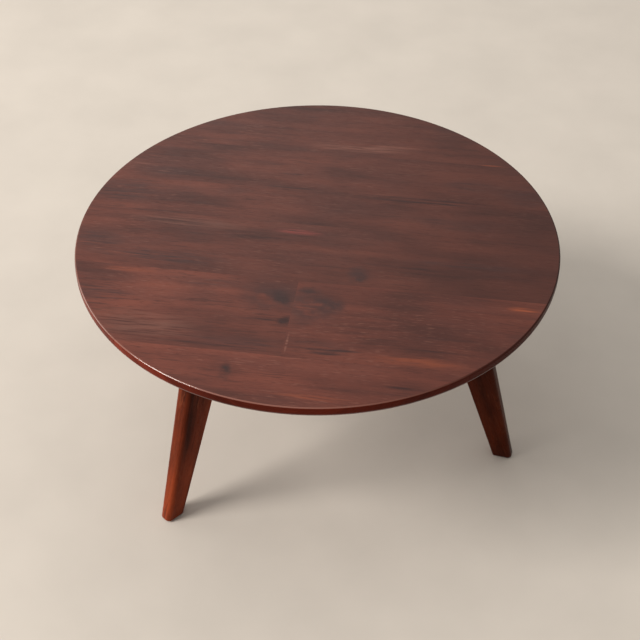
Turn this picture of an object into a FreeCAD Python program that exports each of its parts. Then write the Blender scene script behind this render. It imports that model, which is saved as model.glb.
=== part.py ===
import FreeCAD, Part
import math
import os
import Sketcher

# Driving dimensions: millimetres, and degrees about the upright axis.
# Places along a leg or a rail are distances from the table's axis.
DIMENSIONS = {
    # Round top: boards run along X, seams are given by their Y
    "table_height": 406,
    "top_diameter": 762,
    "top_thickness": 18,
    "upper_rim_chamfer": 1.5,
    "lower_rim_radius": 8,
    "seam_a": 229,
    "seam_b": 116,
    "seam_c": 26,
    "seam_d": -114,
    "seam_e": -282,
    "end_joint": -12,
    # Splayed legs, foot section and top section
    "leg_turn": -8,
    "leg_step": 120,
    "foot_outer": 350.5,
    "foot_inner": 318.5,
    "foot_thickness": 23,
    "leg_top_outer": 255,
    "leg_top_inner": 182,
    "leg_top_thickness": 34,
    "leg_outer_radius": 8,
    "leg_inner_radius": 2.5,
    # Frame under the top
    "rail_depth": 50,
    "rail_thickness": 26,
    "rail_edge_radius": 3,
    "hub_flats": 84,
    "tenon_thickness": 10,
    "tenon_depth": 34,
    "tenon_drop": 8,
    "leg_mortise_floor": 225,
    "hub_mortise_floor": 14,
    "tenon_end_gap": 0.5,
    "peg_place": 207,
    "peg_drop": 25,
    "peg_hole_diameter": 8,
    "peg_diameter": 7.9,
    "peg_length": 33,
    # Screws that hold the frame to the top
    "screw_near": 80,
    "screw_far": 160,
    "screw_diameter": 4.5,
    "screw_length": 35,
    "screw_head_diameter": 10,
    "screw_head_height": 2.5,
    "pilot_diameter": 4.6,
    "pilot_depth": 12,
    "counterbore_diameter": 14,
    "counterbore_depth": 26,
    "slot_width": 5.5,
    "slot_travel": 4,
    # Nailed glides under the feet
    "glide_place": 334,
    "glide_height": 2.5,
    "glide_diameter": 18,
    "glide_bore": 2.4,
    "glide_sink_diameter": 8,
    "glide_sink_depth": 1.4,
    "nail_diameter": 2.2,
    "nail_length": 18,
    "nail_head_diameter": 7,
    "nail_head_height": 1,
    "nail_hole_depth": 18,
}
LEG_NAMES = ("right", "back", "left")
HUB_SIDES = 6
# The lower rim is rounded in this many narrow flats
RIM_FLATS = 3
# Two levels closer than this are the same level
TOUCH = 1e-3

doc = FreeCAD.newDocument("coffee_table")
sheet = doc.addObject("Spreadsheet::Sheet", "sizes")
for row, (alias, value) in enumerate(DIMENSIONS.items(), start=1):
    sheet.set(f"A{row}", alias)
    sheet.set(f"B{row}", str(value))
    sheet.setAlias(f"B{row}", alias)
doc.recompute()

# Levels and lengths that several pieces share, as formulas over the sheet
UNDERSIDE = "(sizes.table_height - sizes.top_thickness)"
RAIL_LOW = f"({UNDERSIDE} - sizes.rail_depth)"
TENON_HIGH = f"({UNDERSIDE} - sizes.tenon_drop)"
TENON_LOW = f"({TENON_HIGH} - sizes.tenon_depth)"
PEG_LEVEL = f"({UNDERSIDE} - sizes.peg_drop)"
COUNTERBORE_FLOOR = f"({RAIL_LOW} + sizes.counterbore_depth)"
HUB_FACE = "(sizes.hub_flats / 2)"
TOP_RADIUS = "(sizes.top_diameter / 2)"
LEG_RISE = f"({UNDERSIDE} - sizes.glide_height)"
LEG_INNER_LEAN = "(sizes.foot_inner - sizes.leg_top_inner)"
SHOULDER_LOW = f"(sizes.leg_top_inner + {LEG_INNER_LEAN} * sizes.rail_depth / {LEG_RISE})"


def number(formula):
    """Value of a formula over the sheet."""
    return float(sheet.evalExpression(formula))


def bind(feature, **formulas):
    """Bind a feature's properties to formulas over the sheet."""
    for name, formula in formulas.items():
        feature.setExpression(name, formula)


def turn(index):
    """Direction of one leg about the upright axis."""
    return f"(sizes.leg_turn + {index} * sizes.leg_step)"


def turn_piece(piece, index):
    """Turn a piece that is drawn along X to the direction of its leg."""
    piece.Placement = FreeCAD.Placement(FreeCAD.Vector(), FreeCAD.Rotation(FreeCAD.Vector(0, 0, 1), 1))
    piece.setExpression("Placement.Rotation.Angle", turn(index))


def place_piece(piece, radius, index, level):
    """Stand a piece at a distance from the axis, in the direction of a leg, at a level."""
    piece.setExpression("Placement.Base.x", f"{radius} * cos({turn(index)})")
    piece.setExpression("Placement.Base.y", f"{radius} * sin({turn(index)})")
    piece.setExpression("Placement.Base.z", level)


def new_body(name):
    """Empty body with the label that names its file."""
    body = doc.addObject("PartDesign::Body", name)
    body.Label = name
    return body


def body_sketch(body, name, plane, level=None):
    """Sketch on one of the body's own origin planes, raised to a level when one is given."""
    sketch = body.newObject("Sketcher::SketchObject", name)
    origin_plane = next(f for f in body.Origin.OriginFeatures if f.Role == plane)
    sketch.AttachmentSupport = [(origin_plane, "")]
    sketch.MapMode = "FlatFace"
    if level:
        sketch.setExpression("AttachmentOffset.Base.z", level)
    return sketch


def upright_sketch(name):
    """Free sketch on the XZ plane, for profiles that are turned about Z."""
    sketch = doc.addObject("Sketcher::SketchObject", name)
    sketch.Placement = FreeCAD.Placement(FreeCAD.Vector(), FreeCAD.Rotation(FreeCAD.Vector(1, 0, 0), 90))
    return sketch


def dimension(sketch, kind, references, formula):
    """Driving constraint whose value follows a formula."""
    index = sketch.addConstraint(Sketcher.Constraint(kind, *references, number(formula)))
    sketch.setExpression(f"Constraints[{index}]", formula)


def outline(sketch, corners):
    """Closed outline through corners of (x, y, radius) formulas; a radius of None keeps a corner sharp."""
    points = [FreeCAD.Vector(number(x), number(y), 0) for x, y, _ in corners]
    arrivals = []
    departures = []
    for index, (_, _, radius) in enumerate(corners):
        here = points[index]
        to_last = (points[index - 1] - here).normalize()
        to_next = (points[(index + 1) % len(points)] - here).normalize()
        reach = number(radius) / math.tan(to_last.getAngle(to_next) / 2) if radius else 0
        arrivals.append(here + to_last * reach)
        departures.append(here + to_next * reach)
    lines = [
        sketch.addGeometry(Part.LineSegment(leave, arrive))
        for leave, arrive in zip(departures, arrivals[1:] + arrivals[:1])
    ]
    for index, (x, y, radius) in enumerate(corners):
        last, line = lines[index - 1], lines[index]
        if radius:
            anchor = sketch.addGeometry(Part.Point(points[index]), True)
            sketch.addConstraint(Sketcher.Constraint("PointOnObject", anchor, 1, last))
            sketch.addConstraint(Sketcher.Constraint("PointOnObject", anchor, 1, line))
            round_corner(sketch, last, line, arrivals[index], departures[index], points[index], radius)
        else:
            anchor = line
            sketch.addConstraint(Sketcher.Constraint("Coincident", last, 2, line, 1))
        dimension(sketch, "DistanceX", (-1, 1, anchor, 1), x)
        dimension(sketch, "DistanceY", (-1, 1, anchor, 1), y)


def round_corner(sketch, last, line, arrival, departure, corner, radius):
    """Arc tangent to the two lines that meet at a corner."""
    chord_middle = (arrival + departure) / 2
    depth = (corner - chord_middle).Length
    centre = corner + (chord_middle - corner) * (1 + (arrival - chord_middle).Length ** 2 / depth ** 2)
    crown = centre + (corner - centre).normalize() * number(radius)
    curve = Part.Arc(arrival, crown, departure)
    forward = (curve.StartPoint - arrival).Length < (curve.EndPoint - arrival).Length
    arc = sketch.addGeometry(curve)
    sketch.addConstraint(Sketcher.Constraint("Tangent", last, 2, arc, 1 if forward else 2))
    sketch.addConstraint(Sketcher.Constraint("Tangent", line, 1, arc, 2 if forward else 1))
    dimension(sketch, "Radius", (arc,), radius)


def slot(sketch, middle, width, travel):
    """Slot along X with round ends."""
    radius = number(width) / 2
    reach = number(travel) / 2
    upright = FreeCAD.Vector(0, 0, 1)
    ends = []
    for side, formula in ((-1, f"{middle} - {travel} / 2"), (1, f"{middle} + {travel} / 2")):
        centre = FreeCAD.Vector(number(middle) + side * reach, 0, 0)
        start = -side * math.pi / 2
        ring = Part.Circle(centre, upright, radius)
        arc = sketch.addGeometry(Part.ArcOfCircle(ring, start, start + math.pi))
        dimension(sketch, "DistanceX", (-1, 1, arc, 3), formula)
        dimension(sketch, "DistanceY", (-1, 1, arc, 3), "0")
        dimension(sketch, "Radius", (arc,), f"{width} / 2")
        ends.append(arc)
    for first, second in ((ends[0], ends[1]), (ends[1], ends[0])):
        start = sketch.getPoint(first, 2)
        end = sketch.getPoint(second, 1)
        line = sketch.addGeometry(Part.LineSegment(start, end))
        sketch.addConstraint(Sketcher.Constraint("Tangent", line, 1, first, 2))
        sketch.addConstraint(Sketcher.Constraint("Tangent", line, 2, second, 1))


def rectangle(sketch, left, right, low, high):
    """Rectangle between four formulas."""
    outline(sketch, [(left, low, None), (right, low, None), (right, high, None), (left, high, None)])


def circle(sketch, x, y, diameter):
    """Circle about a centre."""
    centre = FreeCAD.Vector(number(x), number(y), 0)
    ring = sketch.addGeometry(Part.Circle(centre, FreeCAD.Vector(0, 0, 1), number(diameter) / 2))
    dimension(sketch, "DistanceX", (-1, 1, ring, 3), x)
    dimension(sketch, "DistanceY", (-1, 1, ring, 3), y)
    dimension(sketch, "Diameter", (ring,), diameter)


def pad(body, sketch, length):
    """Pad to both sides of the sketch."""
    feature = body.newObject("PartDesign::Pad", f"{sketch.Name}_pad")
    feature.Profile = sketch
    feature.SideType = "Symmetric"
    feature.setExpression("Length", length)
    return feature


def pocket(body, sketch, length, symmetric=False):
    """Pocket along the sketch's normal, which has to take material away."""
    doc.recompute()
    before = body.Shape.Volume
    feature = body.newObject("PartDesign::Pocket", f"{sketch.Name}_pocket")
    feature.Profile = sketch
    feature.SideType = "Symmetric" if symmetric else "One side"
    feature.Reversed = not symmetric
    feature.setExpression("Length", length)
    doc.recompute()
    if not 0 < body.Shape.Volume < before:
        raise RuntimeError(f"{sketch.Name} cuts nothing")
    return feature


def round_edges(body, name, edges, radius):
    """Round some edges of the body's last feature."""
    last = body.Tip
    feature = body.newObject("PartDesign::Fillet", name)
    feature.Base = (last, edges)
    feature.setExpression("Radius", radius)
    doc.recompute()


def turned(name, sketch):
    """Solid of a profile turned about Z."""
    feature = doc.addObject("Part::Revolution", name)
    feature.Source = sketch
    feature.Axis = (0, 0, 1)
    feature.Angle = 360
    feature.Solid = True
    return feature


def group(name, pieces):
    """One node that holds a set of like pieces as separate solids."""
    feature = doc.addObject("Part::Compound", name)
    feature.Label = name
    feature.Links = pieces
    return feature


def screw_places():
    """Distance and leg direction of every screw: two in each rail, one in the hub."""
    places = [
        (distance, index)
        for index in range(len(LEG_NAMES))
        for distance in ("sizes.screw_near", "sizes.screw_far")
    ]
    return places + [("0", 0)]


def make_boards():
    """Boards of the top, cut from one disc with a fine upper chamfer and a rounded lower rim."""
    rim = upright_sketch("rim_profile")
    lower_rim = []
    for step in range(RIM_FLATS + 1):
        angle = 90 * step / RIM_FLATS
        inward = f"sizes.lower_rim_radius * (1 - sin({angle}))"
        upward = f"sizes.lower_rim_radius * (1 - cos({angle}))"
        lower_rim.append((f"{TOP_RADIUS} - {inward}", f"{UNDERSIDE} + {upward}", None))
    outline(rim, [
        ("0", UNDERSIDE, None),
        *lower_rim,
        (TOP_RADIUS, "sizes.table_height - sizes.upper_rim_chamfer", None),
        (f"{TOP_RADIUS} - sizes.upper_rim_chamfer", "sizes.table_height", None),
        ("0", "sizes.table_height", None),
    ])
    disc = turned("top_disc", rim)
    pilots = []
    for ordinal, (distance, index) in enumerate(screw_places(), start=1):
        hole = doc.addObject("Part::Cylinder", f"pilot_hole_{ordinal}")
        bind(hole, Radius="sizes.pilot_diameter / 2", Height="sizes.pilot_depth")
        place_piece(hole, distance, index, UNDERSIDE)
        pilots.append(hole)
    holes = group("pilot_holes", pilots)
    back = TOP_RADIUS
    front = f"-{TOP_RADIUS}"
    seams = ("sizes.seam_a", "sizes.seam_b", "sizes.seam_c", "sizes.seam_d", "sizes.seam_e")
    strips = list(zip((back, *seams), (*seams, front)))
    spans = []
    for high, low in strips:
        if low == "sizes.seam_e":
            spans.append((front, "sizes.end_joint", low, high))
            spans.append(("sizes.end_joint", back, low, high))
        else:
            spans.append((front, back, low, high))
    boards = []
    for ordinal, (left, right, low, high) in enumerate(spans, start=1):
        strip = doc.addObject("Part::Box", f"strip_{ordinal}")
        bind(strip, Length=f"{right} - {left}", Width=f"{high} - {low}", Height="sizes.top_thickness")
        strip.setExpression("Placement.Base.x", left)
        strip.setExpression("Placement.Base.y", low)
        strip.setExpression("Placement.Base.z", UNDERSIDE)
        blank = doc.addObject("Part::Common", f"board_blank_{ordinal}")
        blank.Base = disc
        blank.Tool = strip
        board = doc.addObject("Part::Cut", f"top_board_{ordinal}")
        board.Label = f"top_board_{ordinal}"
        board.Base = blank
        board.Tool = holes
        boards.append(board)
    return boards


def long_edges(body, outer):
    """Names of a leg's two long edges on its outer or its inner side."""
    middle = body.Shape.BoundBox.Center.z
    edges = [(f"Edge{ordinal}", edge) for ordinal, edge in enumerate(body.Shape.Edges, start=1)]
    upright = [(name, edge) for name, edge in edges if edge.BoundBox.ZMin < middle < edge.BoundBox.ZMax]
    mean_place = sum(edge.CenterOfMass.x for _, edge in upright) / len(upright)
    return [name for name, edge in upright if (edge.CenterOfMass.x > mean_place) == outer]


def make_leg(index):
    """Tapered leg: sawn side profile, cheeks planed to a taper, long edges rounded over."""
    name = f"{LEG_NAMES[index]}_leg"
    body = new_body(name)
    side = body_sketch(body, f"{name}_side", "XZ_Plane")
    outline(side, [
        ("sizes.foot_inner", "sizes.glide_height", None),
        ("sizes.foot_outer", "sizes.glide_height", None),
        ("sizes.leg_top_outer", UNDERSIDE, None),
        ("sizes.leg_top_inner", UNDERSIDE, None),
    ])
    pad(body, side, "sizes.leg_top_thickness")
    for cheek, sign in (("near", "-"), ("far", "")):
        taper = body_sketch(body, f"{name}_{cheek}_taper", "YZ_Plane")
        outline(taper, [
            (f"{sign}sizes.foot_thickness / 2", "sizes.glide_height", None),
            (f"{sign}sizes.leg_top_thickness / 2", "sizes.glide_height", None),
            (f"{sign}sizes.leg_top_thickness / 2", UNDERSIDE, None),
        ])
        pocket(body, taper, "2 * sizes.foot_outer", symmetric=True)
    round_edges(body, f"{name}_outer_rounding", long_edges(body, True), "sizes.leg_outer_radius")
    round_edges(body, f"{name}_inner_rounding", long_edges(body, False), "sizes.leg_inner_radius")
    mortise = body_sketch(body, f"{name}_mortise", "YZ_Plane")
    half = "sizes.tenon_thickness / 2"
    rectangle(mortise, f"-{half}", half, TENON_LOW, TENON_HIGH)
    pocket(body, mortise, "sizes.leg_mortise_floor")
    peg_hole = body_sketch(body, f"{name}_peg_hole", "XZ_Plane")
    circle(peg_hole, "sizes.peg_place", PEG_LEVEL, "sizes.peg_hole_diameter")
    pocket(body, peg_hole, "2 * sizes.leg_top_thickness", symmetric=True)
    nail_hole = body_sketch(body, f"{name}_nail_hole", "XY_Plane", "sizes.glide_height")
    circle(nail_hole, "sizes.glide_place", "0", "sizes.glide_bore")
    pocket(body, nail_hole, "sizes.nail_hole_depth")
    turn_piece(body, index)
    return body


def make_rail(index):
    """Radial rail with a sloping shoulder against its leg and a tenon at each end."""
    name = f"{LEG_NAMES[index]}_rail"
    body = new_body(name)
    side = body_sketch(body, f"{name}_side", "XZ_Plane")
    outline(side, [
        (HUB_FACE, RAIL_LOW, None),
        (SHOULDER_LOW, RAIL_LOW, None),
        ("sizes.leg_top_inner", UNDERSIDE, None),
        (HUB_FACE, UNDERSIDE, None),
    ])
    pad(body, side, "sizes.rail_thickness")
    doc.recompute()
    lower_edges = []
    for ordinal, edge in enumerate(body.Shape.Edges, start=1):
        box = edge.BoundBox
        lies_low = abs(box.ZMax - number(RAIL_LOW)) < TOUCH
        if lies_low and box.XLength > box.YLength:
            lower_edges.append(f"Edge{ordinal}")
    round_edges(body, f"{name}_rounding", lower_edges, "sizes.rail_edge_radius")
    tenons = body_sketch(body, f"{name}_tenons", "XZ_Plane")
    inner_end = "sizes.hub_mortise_floor + sizes.tenon_end_gap"
    outer_end = "sizes.leg_mortise_floor - sizes.tenon_end_gap"
    rectangle(tenons, inner_end, outer_end, TENON_LOW, TENON_HIGH)
    pad(body, tenons, "sizes.tenon_thickness")
    counterbores = body_sketch(body, f"{name}_counterbores", "XY_Plane", RAIL_LOW)
    slots = body_sketch(body, f"{name}_slots", "XY_Plane", RAIL_LOW)
    for place in ("sizes.screw_near", "sizes.screw_far"):
        circle(counterbores, place, "0", "sizes.counterbore_diameter")
        slot(slots, place, "sizes.slot_width", "sizes.slot_travel")
    pocket(body, counterbores, "sizes.counterbore_depth")
    pocket(body, slots, "sizes.rail_depth")
    peg_hole = body_sketch(body, f"{name}_peg_hole", "XZ_Plane")
    circle(peg_hole, "sizes.peg_place", PEG_LEVEL, "sizes.peg_hole_diameter")
    pocket(body, peg_hole, "2 * sizes.tenon_thickness", symmetric=True)
    turn_piece(body, index)
    return body


def make_hub():
    """Hexagonal block whose alternate faces take the rails."""
    body = new_body("frame_hub")
    plan = body_sketch(body, "hub_plan", "XY_Plane", RAIL_LOW)
    side_turn = 360 / HUB_SIDES
    corner = f"({HUB_FACE} / cos({side_turn / 2}))"
    turns = [(side + 0.5) * side_turn for side in range(HUB_SIDES)]
    outline(plan, [(f"{corner} * cos({angle})", f"{corner} * sin({angle})", None) for angle in turns])
    block = body.newObject("PartDesign::Pad", "hub_block")
    block.Profile = plan
    block.setExpression("Length", "sizes.rail_depth")
    mortise = body_sketch(body, "hub_mortise", "YZ_Plane", "sizes.hub_mortise_floor")
    half = "sizes.tenon_thickness / 2"
    rectangle(mortise, f"-{half}", half, TENON_LOW, TENON_HIGH)
    first = pocket(body, mortise, HUB_FACE)
    pattern = body.newObject("PartDesign::PolarPattern", "hub_mortises")
    pattern.Originals = [first]
    axis = next(f for f in body.Origin.OriginFeatures if f.Role == "Z_Axis")
    pattern.Axis = (axis, [""])
    pattern.Angle = 360
    pattern.Occurrences = len(LEG_NAMES)
    body.Tip = pattern
    counterbore = body_sketch(body, "hub_counterbore", "XY_Plane", RAIL_LOW)
    circle(counterbore, "0", "0", "sizes.counterbore_diameter")
    pocket(body, counterbore, "sizes.counterbore_depth")
    hole = body_sketch(body, "hub_hole", "XY_Plane", RAIL_LOW)
    circle(hole, "0", "0", "sizes.slot_width")
    pocket(body, hole, "sizes.rail_depth")
    turn_piece(body, 0)
    return body


def make_pegs():
    """Wooden pegs across the legs, through the tenons."""
    pegs = []
    for index, side in enumerate(LEG_NAMES):
        peg = new_body(f"{side}_peg")
        section = body_sketch(peg, f"{side}_peg_section", "XZ_Plane")
        circle(section, "sizes.peg_place", PEG_LEVEL, "sizes.peg_diameter")
        pad(peg, section, "sizes.peg_length")
        turn_piece(peg, index)
        pegs.append(peg)
    return group("leg_pegs", pegs)


def make_screws():
    """Wood screws whose broad flat heads bear on the floors of the counterbores."""
    profile = upright_sketch("screw_profile")
    head = "sizes.screw_head_diameter / 2"
    shank = "sizes.screw_diameter / 2"
    outline(profile, [
        ("0", "-sizes.screw_head_height", None),
        (head, "-sizes.screw_head_height", None),
        (head, "0", None),
        (shank, "0", None),
        (shank, "sizes.screw_length", None),
        ("0", "sizes.screw_length", None),
    ])
    screws = []
    for ordinal, (distance, index) in enumerate(screw_places(), start=1):
        screw = turned(f"screw_{ordinal}", profile)
        place_piece(screw, distance, index, COUNTERBORE_FLOOR)
        screws.append(screw)
    return group("top_screws", screws)


def make_glides():
    """Nylon glides under the feet, each held by a nail sunk into it."""
    pad_profile = upright_sketch("glide_profile")
    rim = "sizes.glide_diameter / 2"
    sink = "sizes.glide_sink_diameter / 2"
    bore = "sizes.glide_bore / 2"
    outline(pad_profile, [
        (sink, "0", None),
        (rim, "0", None),
        (rim, "sizes.glide_height", None),
        (bore, "sizes.glide_height", None),
        (bore, "sizes.glide_sink_depth", None),
        (sink, "sizes.glide_sink_depth", None),
    ])
    nail_profile = upright_sketch("nail_profile")
    head = "sizes.nail_head_diameter / 2"
    shank = "sizes.nail_diameter / 2"
    outline(nail_profile, [
        ("0", "-sizes.nail_head_height", None),
        (head, "-sizes.nail_head_height", None),
        (head, "0", None),
        (shank, "0", None),
        (shank, "sizes.nail_length", None),
        ("0", "sizes.nail_length", None),
    ])
    glides = []
    nails = []
    for index, side in enumerate(LEG_NAMES):
        glide = turned(f"{side}_glide", pad_profile)
        glide.Label = f"{side}_glide"
        nail = turned(f"{side}_nail", nail_profile)
        place_piece(glide, "sizes.glide_place", index, "0")
        place_piece(nail, "sizes.glide_place", index, "sizes.glide_sink_depth")
        glides.append(glide)
        nails.append(nail)
    return glides + [group("glide_nails", nails)]


pieces = make_boards()
for leg_index in range(len(LEG_NAMES)):
    pieces.append(make_leg(leg_index))
    pieces.append(make_rail(leg_index))
pieces.append(make_hub())
pieces.append(make_pegs())
pieces.append(make_screws())
pieces += make_glides()
doc.recompute()

failed = [item.Name for item in doc.Objects if "Invalid" in item.State or "Error" in item.State]
if failed:
    raise RuntimeError(f"failed features: {failed}")
for piece in pieces:
    if piece.Shape.isNull() or not piece.Shape.isValid():
        raise RuntimeError(f"bad shape: {piece.Label}")

os.makedirs("parts", exist_ok=True)
for piece in pieces:
    piece.Shape.exportStep(f"parts/{piece.Label}.step")
    print(piece.Label, len(piece.Shape.Solids), round(piece.Shape.Volume))
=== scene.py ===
import bisect
import math

import bmesh
import bpy
from mathutils import Matrix, Vector


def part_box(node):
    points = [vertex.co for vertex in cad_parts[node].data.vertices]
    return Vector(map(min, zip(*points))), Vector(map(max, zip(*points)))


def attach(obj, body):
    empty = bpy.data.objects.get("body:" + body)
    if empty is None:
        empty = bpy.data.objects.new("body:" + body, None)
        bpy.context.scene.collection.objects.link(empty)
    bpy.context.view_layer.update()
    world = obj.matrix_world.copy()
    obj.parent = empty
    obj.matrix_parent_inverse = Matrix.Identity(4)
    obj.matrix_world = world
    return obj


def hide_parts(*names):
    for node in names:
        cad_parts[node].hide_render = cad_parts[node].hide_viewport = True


bl_info = {
    "name": "Round coffee table",
    "version": (1, 0, 0),
    "blender": (4, 5, 0),
    "location": "View3D > Sidebar > Coffee table",
    "description": "Dresses the packed solids of a round three-legged coffee table",
    "category": "Object",
}

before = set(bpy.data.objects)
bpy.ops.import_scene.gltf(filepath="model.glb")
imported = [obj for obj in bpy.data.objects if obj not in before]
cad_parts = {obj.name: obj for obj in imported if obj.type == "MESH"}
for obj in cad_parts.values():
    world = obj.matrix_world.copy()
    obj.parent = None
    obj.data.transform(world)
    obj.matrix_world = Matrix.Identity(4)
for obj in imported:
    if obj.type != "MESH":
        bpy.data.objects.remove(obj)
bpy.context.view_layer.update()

MM = 0.001
LEG_NAMES = ("right", "back", "left")
BOARD_COUNT = 7
BOARD_BOXES = [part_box(f"top_board_{ordinal}") for ordinal in range(1, BOARD_COUNT + 1)]
TOP_RADIUS = max(high.y for _, high in BOARD_BOXES)
TOP_LEVEL = max(high.z for _, high in BOARD_BOXES)
UNDERSIDE = min(low.z for low, _ in BOARD_BOXES)


def linear(hex_colour):
    """Linear colour of an sRGB hex value."""
    parts = [int(hex_colour[start:start + 2], 16) / 255 for start in (1, 3, 5)]
    return tuple(p / 12.92 if p <= 0.04045 else ((p + 0.055) / 1.055) ** 2.4 for p in parts)


# Settings that a user would change


class TopSettings(bpy.types.PropertyGroup):
    """Sizes of the board top, and the tones of its wood."""

    upper_rounding: bpy.props.FloatProperty(
        name="Upper rounding", description="Radius of the upper arris", default=2.8 * MM, unit="LENGTH")
    lower_rounding: bpy.props.FloatProperty(
        name="Lower rounding", description="Radius of the lower rim", default=7 * MM, unit="LENGTH")
    rim_steps: bpy.props.IntProperty(
        name="Rim steps", description="Flats around the whole rim", default=288, min=24)
    heart: bpy.props.FloatVectorProperty(
        name="Heartwood", description="Middle tone of the stained boards", subtype="COLOR",
        default=linear("#5E2D21"))
    dark: bpy.props.FloatVectorProperty(
        name="Dark grain", description="Tone of the dark late wood", subtype="COLOR",
        default=linear("#421D15"))
    pale: bpy.props.FloatVectorProperty(
        name="Pale grain", description="Tone of the pale early wood", subtype="COLOR",
        default=linear("#71392A"))
    fleck: bpy.props.FloatVectorProperty(
        name="Fleck", description="Tone of the short pale flecks", subtype="COLOR",
        default=linear("#784B3E"))


class LegSettings(bpy.types.PropertyGroup):
    """Roundings of the legs."""

    outer_rounding: bpy.props.FloatProperty(
        name="Outer rounding", description="Radius of the outer long edges", default=8 * MM, unit="LENGTH")
    inner_rounding: bpy.props.FloatProperty(
        name="Inner rounding", description="Radius of the inner long edges",
        default=2.5 * MM, unit="LENGTH")
    sole_easing: bpy.props.FloatProperty(
        name="Sole easing", description="Rounding around the sole", default=1.2 * MM, unit="LENGTH")


class JoinerySettings(bpy.types.PropertyGroup):
    """Places and sizes of the joints under the top."""

    edge_easing: bpy.props.FloatProperty(
        name="Edge easing", description="Softening of the frame's sharp edges",
        default=0.6 * MM, unit="LENGTH")
    mortise_reach: bpy.props.FloatProperty(
        name="Mortise reach", description="Floor of a leg's mortise from the axis",
        default=225 * MM, unit="LENGTH")
    mortise_drop: bpy.props.FloatProperty(
        name="Mortise drop", description="Mortise below the underside of the top",
        default=8 * MM, unit="LENGTH")
    mortise_depth: bpy.props.FloatProperty(
        name="Mortise depth", description="Upright size of a mortise", default=34 * MM, unit="LENGTH")
    mortise_width: bpy.props.FloatProperty(
        name="Mortise width", description="Thickness of a tenon", default=10 * MM, unit="LENGTH")
    peg_place: bpy.props.FloatProperty(
        name="Peg place", description="Distance of a peg from the axis", default=207 * MM, unit="LENGTH")
    peg_drop: bpy.props.FloatProperty(
        name="Peg drop", description="Peg below the underside of the top", default=25 * MM, unit="LENGTH")
    peg_bore: bpy.props.FloatProperty(
        name="Peg bore", description="Diameter of a peg hole", default=8 * MM, unit="LENGTH")
    peg_length: bpy.props.FloatProperty(
        name="Peg length", description="Length of a peg", default=33 * MM, unit="LENGTH")
    screw_near: bpy.props.FloatProperty(
        name="Near screw", description="Distance of a rail's inner screw from the axis",
        default=80 * MM, unit="LENGTH")
    screw_far: bpy.props.FloatProperty(
        name="Far screw", description="Distance of a rail's outer screw from the axis",
        default=160 * MM, unit="LENGTH")


class StageSettings(bpy.types.PropertyGroup):
    """Floor, light and camera."""

    floor: bpy.props.FloatVectorProperty(
        name="Floor", description="Colour of the pale floor", subtype="COLOR", default=linear("#CEC6BC"))
    key_power: bpy.props.FloatProperty(
        name="Key power", description="Power of the large soft lamp", default=680, unit="POWER")
    back_power: bpy.props.FloatProperty(
        name="Back power", description="Power of the soft lamp behind the table", default=4.2, unit="POWER")
    side_power: bpy.props.FloatProperty(
        name="Side power", description="Power of the low soft lamp to the left", default=18, unit="POWER")
    sky_strength: bpy.props.FloatProperty(
        name="Sky strength", description="Strength of the soft light from all round", default=0.47)
    lens: bpy.props.FloatProperty(
        name="Lens", description="Focal length in millimetres", default=73.125, unit="CAMERA")


class TableSettings(bpy.types.PropertyGroup):
    """All settings of the coffee table."""

    top: bpy.props.PointerProperty(type=TopSettings)
    legs: bpy.props.PointerProperty(type=LegSettings)
    joinery: bpy.props.PointerProperty(type=JoinerySettings)
    stage: bpy.props.PointerProperty(type=StageSettings)


# Tones and finishes of the acacia


# Stains as shares of the red, green and blue of the boards' own tones. The rim's end grain and the legs
# drank more stain than the flat boards, so they are a deeper, redder brown. A shade is a share of all three:
# the legs get painted light and shade, the left one paler as it faces the lamps, the right one darker as it
# stands in the top's shadow; the frame and the pegs are darker than the boards
BOARD_STAIN = (1, 1, 1)
RIM_STAIN = (1.15, 0.55, 0.36)
LEG_STAIN = (1, 0.7, 0.4)
LEG_PAINTED_LIGHT = {"right": 0.66, "back": 1, "left": 1.42}
FRAME_SHADE = 0.85
PEG_SHADE = 0.75

# Strength of the dark, middle, pale and fleck tones: even on the boards, more contrast on rim and legs
EVEN_FIGURE = (1, 1, 1, 1)
DEEP_FIGURE = (0.55, 1, 1.2, 0.8)

# Each finish is the weight of its clear coat, its specular level and its roughness

# Flat-sawn, sanded and sprayed with satin lacquer: broad soft reflections that pale the boards a little
SATIN_LACQUER = (0.2, 0.18, 0.47)
# Turned edge that drank the stain: deep red-brown with hardly a reflection
DEEP_EDGE = (0, 0.05, 0.28)
# Lower rounding under full lacquer: mirrors the floor at a flat angle as a thin pale line
LACQUERED_RIM = (0, 0.5, 0.3)
# Upper arris, glossy: a thin bright line of light, with a painted highlight toward the front left
POLISHED_ARRIS = (1, 0.2, 0.18)
# Underside, sanded and stained only: dull, with no clear reflection
STAINED_UNDERSIDE = (0, 0.3, 0.6)
# Planed legs that drank the stain: deep and quiet, the figure shows more than the light
DEEP_LEG = (0, 0.05, 0.3)
# Sawn rails and hub under one thin coat of matt lacquer: dull, a little smoother than the underside
MATT_FRAME = (0, 0.3, 0.58)
# Cut ends of the pegs: dark end grain, slightly burnished
PEG_END = (0, 0.2, 0.5)

# Pores are sunk and rougher than the wood between them, and the clear coat is smoother than the wood
LACQUER_IOR = 1.5
PORE_RANGE = (0.3, 0.75)
PORE_ROUGHNESS = (-0.04, 0.1)
COAT_SMOOTHER = 0.05
PORE_RELIEF = 0.4 * MM
PORE_BUMP = 0.1

# Figure of the wood: length and width in millimetres and detail of each layer of noise. Lines, flecks and
# pores are drawn coarser than the real 0.5 and 0.2 mm, so that they show in a picture of the whole table.
# The shift takes each layer from another place in the noise
WOOD_LAYERS = (
    ("cloud", 170, 55, 2),
    ("band", 300, 14, 2),
    ("line", 48, 2.6, 3),
    ("patch", 130, 36, 1),
    ("fleck", 18, 1.8, 1),
    ("pore", 12, 1.1, 1),
    ("hue", 140, 45, 2),
)
LAYER_SHIFT = 7.3
GRAIN_WEIGHTS = (("cloud", 0.5), ("band", 0.32), ("line", 0.18))
GRAIN_RANGE = (0.36, 0.64)
HEART_STOP = 0.5

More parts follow.
